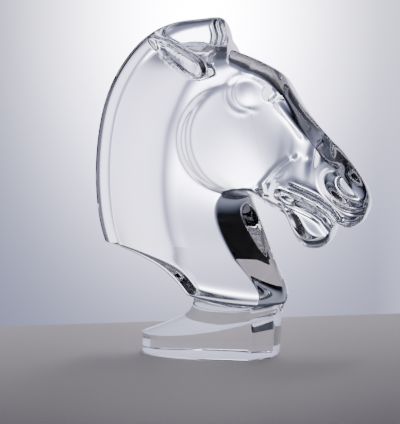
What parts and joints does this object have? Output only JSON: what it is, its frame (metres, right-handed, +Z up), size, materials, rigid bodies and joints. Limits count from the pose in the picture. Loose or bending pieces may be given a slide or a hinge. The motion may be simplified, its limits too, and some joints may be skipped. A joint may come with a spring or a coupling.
{
  "type": "horse head sculpture",
  "caption": "Horse's head and neck in clear crystal, cast in one piece with an oval base, with an upright mane, pinned-back ears and parted lips.",
  "frame": {"origin": "centre of the oval underside of the base, where it rests on a table", "axes": "+X towards the muzzle, +Y towards the head's left side, +Z up; the two sides mirror each other across Y = 0"},
  "size_m": [0.2492, 0.084, 0.3],
  "materials": {
    "clear_crystal": "polished clear lead crystal"
  },
  "bodies": {
    "root": {"crystal_horse_head": "clear_crystal"}
  },
  "joints": []
}
